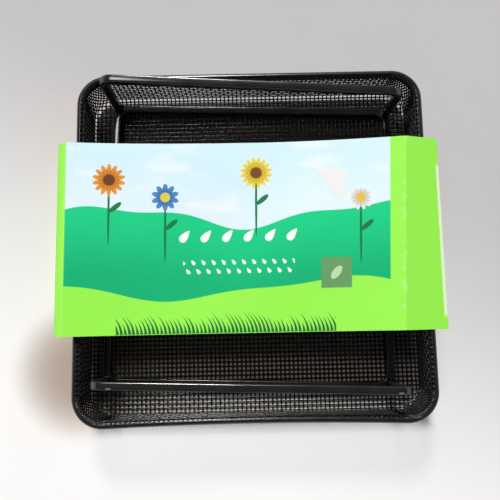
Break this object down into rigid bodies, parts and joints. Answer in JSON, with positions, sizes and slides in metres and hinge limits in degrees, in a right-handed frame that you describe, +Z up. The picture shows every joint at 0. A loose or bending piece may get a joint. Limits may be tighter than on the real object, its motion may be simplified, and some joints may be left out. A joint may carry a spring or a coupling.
{
  "type": "platform bird feeder",
  "caption": "Square ground feeder tray of black wire mesh with a rolled rim, its bar stand lying upside down inside, wrapped in a green printed card sleeve.",
  "frame": {"origin": "middle of the tray, on the underside of the card sleeve that the whole rests on", "axes": "+X to the right along the sleeve, +Y to the rear, +Z up out of the open tray"},
  "size_m": [0.3067, 0.28, 0.06],
  "materials": {
    "mesh_tray": "black satin powder coat on woven wire",
    "rim": "black satin powder coat",
    "stand_ring": "black satin powder coat",
    "front_leg": "black satin powder coat",
    "rear_leg": "black satin powder coat",
    "card_sleeve": "coated card with a printed face"
  },
  "bodies": {
    "root": {"mesh_tray": "mesh_tray", "rim": "rim", "stand_ring": "stand_ring", "front_leg": "front_leg", "rear_leg": "rear_leg", "card_sleeve": "card_sleeve"}
  },
  "joints": []
}
